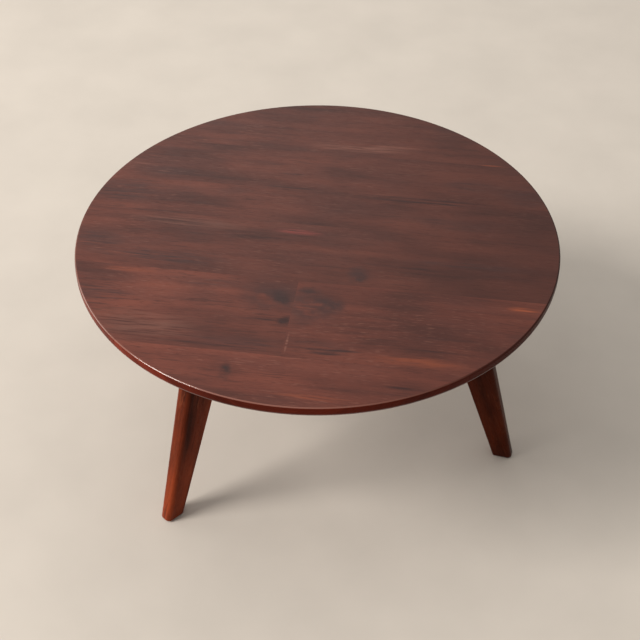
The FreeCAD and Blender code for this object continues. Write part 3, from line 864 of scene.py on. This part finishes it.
def cross_outline(half_width, half_length, level):
    """Outline of a cross recess: the corners of one arm, turned by quarters."""
    arm = ((half_width, half_width), (half_width, half_length), (-half_width, half_length))
    points = []
    for cosine, sine in ((1, 0), (0, 1), (-1, 0), (0, -1)):
        points += [(x * cosine - y * sine, x * sine + y * cosine, level) for x, y in arm]
    return points


def glide_place(name):
    """Place of a leg's glide on the floor, for outlines in millimetres."""
    low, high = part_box(f"{name}_glide")
    middle = (low + high) / 2
    return Matrix.Translation((middle.x, middle.y, low.z)) @ Matrix.Scale(MM, 4)


def dress_solid(settings, node, turn, ordinal):
    """Give a CAD solid of the frame its wood and ease its edges."""
    tones = restain(own_tones(settings.top), shade=FRAME_SHADE)
    log = (FRAME_PITH, cut_from(FRAME_CUT, ordinal))
    wood = stained_wood(f"stained acacia, {node}", tones, log, MATT_FRAME, turn=(0, 0, turn))
    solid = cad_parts[node]
    solid.data.materials.clear()
    solid.data.materials.append(wood)
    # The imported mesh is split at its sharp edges, so it is closed before they are eased
    weld = solid.modifiers.new("close", "WELD")
    weld.merge_threshold = TOUCH
    ease = solid.modifiers.new("ease", "BEVEL")
    ease.width = settings.joinery.edge_easing
    ease.segments = EASING_SEGMENTS
    ease.limit_method = "ANGLE"
    ease.angle_limit = SHARP_ANGLE
    solid.modifiers.new("flat faces", "WEIGHTED_NORMAL")


# Stage


# Floor and lamps in metres: half the floor's width, its cells, and how far it lies below the glides
FLOOR_HALF = 9
FLOOR_CELLS = 8
FLOOR_DROP = 0.2 * MM
LAMP_COLOUR = "#FFFAF4"
LAMP_AIM = (0, 0, 0.3)
# Soft round lamps: the setting that holds the power, diameter and place
LAMPS = {
    "key_lamp": ("key_power", 3.9, (-6.4, -3.1, 5.8)),
    "back_lamp": ("back_power", 1.3, (-0.6, 1.8, 1.7)),
    "side_lamp": ("side_power", 1.9, (-3.6, 0.55, 1.4)),
}
# A wall of soft light to the left and behind, a dim room to the right and in front
SKY_COLOUR = "#FFFCF8"
SKY_WAY = (-0.6, 0.4, 0.69)
SKY_DIM = 0.1
SKY_BRIGHT = 1.7
# The eye looks down on the table, from a little to the right of its front
CAMERA_EYE = (0.23682, -1.60372, 1.67873)
CAMERA_LOOK = (-0.00051, 0.0302, 0.2)
SENSOR_WIDTH = 36


def lay_floor(settings):
    """Wide plain floor just under the glides."""
    shape = bmesh.new()
    bmesh.ops.create_grid(shape, x_segments=FLOOR_CELLS, y_segments=FLOOR_CELLS, size=FLOOR_HALF)
    floor = new_object("floor", shape)
    floor.data.materials.append(trowelled_floor(tuple(settings.floor)))
    floor.location.z = -FLOOR_DROP


def hang_lamps(scene, settings):
    """Soft lamps that the camera doesn't see."""
    for name, (power, diameter, place) in LAMPS.items():
        lamp = bpy.data.lights.new(name, "AREA")
        lamp.energy = getattr(settings, power)
        lamp.shape = "DISK"
        lamp.size = diameter
        lamp.color = linear(LAMP_COLOUR)
        holder = bpy.data.objects.new(name, lamp)
        holder.location = place
        holder.rotation_euler = (Vector(LAMP_AIM) - holder.location).to_track_quat("-Z", "Y").to_euler()
        holder.visible_camera = False
        scene.collection.objects.link(holder)


def light_sky(scene, settings):
    """Soft light from all round, brighter on one side."""
    world = bpy.data.worlds.new("studio")
    world.use_nodes = True
    tree = world.node_tree
    tree.nodes.clear()
    ray = add_node(tree, "ShaderNodeTexCoord").outputs["Generated"]
    side = add_node(tree, "ShaderNodeVectorMath", {1: SKY_WAY}, {0: ray},
                    operation="DOT_PRODUCT").outputs["Value"]
    dim, bright = SKY_DIM * settings.sky_strength, SKY_BRIGHT * settings.sky_strength
    glow = add_node(tree, "ShaderNodeMapRange", {"From Min": -1, "To Min": dim, "To Max": bright},
                    {"Value": side})
    sky = add_node(tree, "ShaderNodeBackground", {"Color": (*linear(SKY_COLOUR), 1)}, {"Strength": glow})
    add_node(tree, "ShaderNodeOutputWorld", {}, {"Surface": sky})
    scene.world = world


def set_camera(scene, settings):
    """Camera that looks down on the table."""
    lens = bpy.data.cameras.new("camera")
    lens.lens = settings.lens
    lens.sensor_width = SENSOR_WIDTH
    camera = bpy.data.objects.new("camera", lens)
    eye = Vector(CAMERA_EYE)
    look = Vector(CAMERA_LOOK) - eye
    camera.matrix_world = Matrix.Translation(eye) @ look.to_track_quat("-Z", "Y").to_matrix().to_4x4()
    scene.collection.objects.link(camera)
    scene.camera = camera


# Operators


class LayBoards(bpy.types.Operator):
    """Lay the seven boards of the round top."""

    bl_idname = "coffee_table.lay_boards"
    bl_label = "Board top"

    def execute(self, context):
        top = context.scene.coffee_table.top
        for ordinal, box in enumerate(BOARD_BOXES, start=1):
            shape = board_shape(top, box)
            shape.normal_update()
            for face in shape.faces:
                face.material_index = bisect.bisect(FINISH_LIMITS, face.normal.z)
            finish_piece(f"lacquered_board_{ordinal}", shape, [f"top_board_{ordinal}"],
                         board_woods(top, ordinal))
        return {"FINISHED"}


class ShapeLegs(bpy.types.Operator):
    """Shape the three splayed legs."""

    bl_idname = "coffee_table.shape_legs"
    bl_label = "Splayed legs"

    def execute(self, context):
        settings = context.scene.coffee_table
        for ordinal, name in enumerate(LEG_NAMES, start=1):
            sections = leg_sections(name)
            (low, inner, outer, _), (high, top_inner, top_outer, _) = sections
            lean = math.atan2((inner + outer - top_inner - top_outer) / 2, high - low)
            # Painted light and shade: the left leg paler, the right leg darker
            tones = restain(own_tones(settings.top), LEG_STAIN, DEEP_FIGURE, LEG_PAINTED_LIGHT[name])
            log = (LEG_PITH, cut_from(LEG_CUT, ordinal))
            wood = stained_wood(f"deep stained acacia, {name} leg", tones, log, DEEP_LEG,
                                turn=(0, math.pi / 2 + lean, 0))
            piece = finish_piece(f"{name}_leg_shaped", leg_shape(settings.legs, sections),
                                 [f"{name}_leg"], [wood], leg_cutters(settings.joinery, sections))
            piece.rotation_euler = (0, 0, leg_turn(name))
        return {"FINISHED"}


class DressRails(bpy.types.Operator):
    """Finish the three rails under the top."""

    bl_idname = "coffee_table.dress_rails"
    bl_label = "Rails"

    def execute(self, context):
        for ordinal, name in enumerate(LEG_NAMES, start=1):
            dress_solid(context.scene.coffee_table, f"{name}_rail", -leg_turn(name), ordinal)
        return {"FINISHED"}


class DressHub(bpy.types.Operator):
    """Finish the hub that the rails meet in."""

    bl_idname = "coffee_table.dress_hub"
    bl_label = "Hub"

    def execute(self, context):
        dress_solid(context.scene.coffee_table, "frame_hub", -leg_turn("right"), len(LEG_NAMES) + 1)
        return {"FINISHED"}


class DrivePegs(bpy.types.Operator):
    """Drive the three pegs that lock the legs' tenons."""

    bl_idname = "coffee_table.drive_pegs"
    bl_label = "Pegs"

    def execute(self, context):
        settings = context.scene.coffee_table
        tones = restain(own_tones(settings.top), shade=FRAME_SHADE * PEG_SHADE)
        log = (PEG_PITH, cut_from(PEG_CUT, 1))
        wood = stained_wood("stained acacia, end grain of the pegs", tones, log, PEG_END)
        low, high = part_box("leg_pegs")
        radius = (high.z - low.z) / 2
        end = PEG_END_SHARE * radius
        half = settings.joinery.peg_length / 2
        profile = ((end, -half), (radius, -half + PEG_CHAMFER), (radius, half - PEG_CHAMFER), (end, half))
        pegs = bmesh.new()
        for name in LEG_NAMES:
            place = Matrix.Rotation(leg_turn(name), 4, "Z") @ across_leg(settings.joinery)
            lathe(profile, MIDDLE_TURN, shape=pegs, place=place)
        finish_piece("leg_pegs_driven", pegs, ["leg_pegs"], [wood])
        return {"FINISHED"}


class DriveScrews(bpy.types.Operator):
    """Drive the seven pan-head screws that hold the frame to the top."""

    bl_idname = "coffee_table.drive_screws"
    bl_label = "Screws"

    def execute(self, context):
        joinery = context.scene.coffee_table.joinery
        low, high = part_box("top_screws")
        length = (high.z - low.z) / MM
        profile = ((SCREW_TIP, length), (SCREW_SHANK, length - SCREW_POINT), (SCREW_SHANK, SCREW_SEAT),
                   *SCREW_HEAD)
        reaches = (joinery.screw_near, joinery.screw_far)
        spots = [(reach, leg_turn(name)) for name in LEG_NAMES for reach in reaches]
        screws = bmesh.new()
        recesses = bmesh.new()
        for ordinal, (reach, turn) in enumerate([*spots, (0, 0)]):
            place = Matrix.Translation((reach * math.cos(turn), reach * math.sin(turn), low.z))
            place = place @ Matrix.Rotation(SCREW_TWIST * ordinal, 4, "Z") @ Matrix.Scale(MM, 4)
            lathe(profile, MIDDLE_TURN, shape=screws, place=place)
            loft([cross_outline(*CROSS_MOUTH), cross_outline(*CROSS_FLOOR)], shape=recesses, place=place)
        finish_piece("pan_head_screws", screws, ["top_screws"], [plated_steel()], [recesses])
        return {"FINISHED"}


class SetGlides(bpy.types.Operator):
    """Set a glide under each foot."""

    bl_idname = "coffee_table.set_glides"
    bl_label = "Glides"

    def execute(self, context):
        nylon = moulded_nylon()
        for name in LEG_NAMES:
            shape = lathe(GLIDE_OUTLINE, WIDE_TURN, hollow=True, place=glide_place(name))
            finish_piece(f"{name}_glide_moulded", shape, [f"{name}_glide"], [nylon])
        return {"FINISHED"}


class DriveNails(bpy.types.Operator):
    """Drive the nails that hold the glides."""

    bl_idname = "coffee_table.drive_nails"
    bl_label = "Glide nails"

    def execute(self, context):
        nails = bmesh.new()
        for name in LEG_NAMES:
            lathe(NAIL_OUTLINE, NARROW_TURN, shape=nails, place=glide_place(name))
        finish_piece("glide_nails_driven", nails, ["glide_nails"], [plated_steel()])
        return {"FINISHED"}


class SetStage(bpy.types.Operator):
    """Lay the floor and set the light and the camera."""

    bl_idname = "coffee_table.set_stage"
    bl_label = "Floor, light and camera"

    def execute(self, context):
        scene = context.scene
        settings = scene.coffee_table.stage
        lay_floor(settings)
        hang_lamps(scene, settings)
        light_sky(scene, settings)
        set_camera(scene, settings)
        scene.view_settings.view_transform = "Standard"
        return {"FINISHED"}


class TablePanel(bpy.types.Panel):
    """Sidebar panel with the steps that build the table."""

    bl_idname = "VIEW3D_PT_coffee_table"
    bl_label = "Coffee table"
    bl_space_type = "VIEW_3D"
    bl_region_type = "UI"
    bl_category = "Coffee table"

    def draw(self, context):
        for step in STEPS:
            self.layout.operator(step.bl_idname)


STEPS = (LayBoards, ShapeLegs, DressRails, DressHub, DrivePegs, DriveScrews, SetGlides, DriveNails,
         SetStage)
CLASSES = (TopSettings, LegSettings, JoinerySettings, StageSettings, TableSettings, *STEPS, TablePanel)


def register():
    for item in CLASSES:
        bpy.utils.register_class(item)
    bpy.types.Scene.coffee_table = bpy.props.PointerProperty(type=TableSettings)


def unregister():
    del bpy.types.Scene.coffee_table
    for item in reversed(CLASSES):
        bpy.utils.unregister_class(item)


def main():
    register()
    bpy.ops.coffee_table.lay_boards()
    bpy.ops.coffee_table.shape_legs()
    bpy.ops.coffee_table.dress_rails()
    bpy.ops.coffee_table.dress_hub()
    bpy.ops.coffee_table.drive_pegs()
    bpy.ops.coffee_table.drive_screws()
    bpy.ops.coffee_table.set_glides()
    bpy.ops.coffee_table.drive_nails()
    bpy.ops.coffee_table.set_stage()


if __name__ == "__main__":
    main()
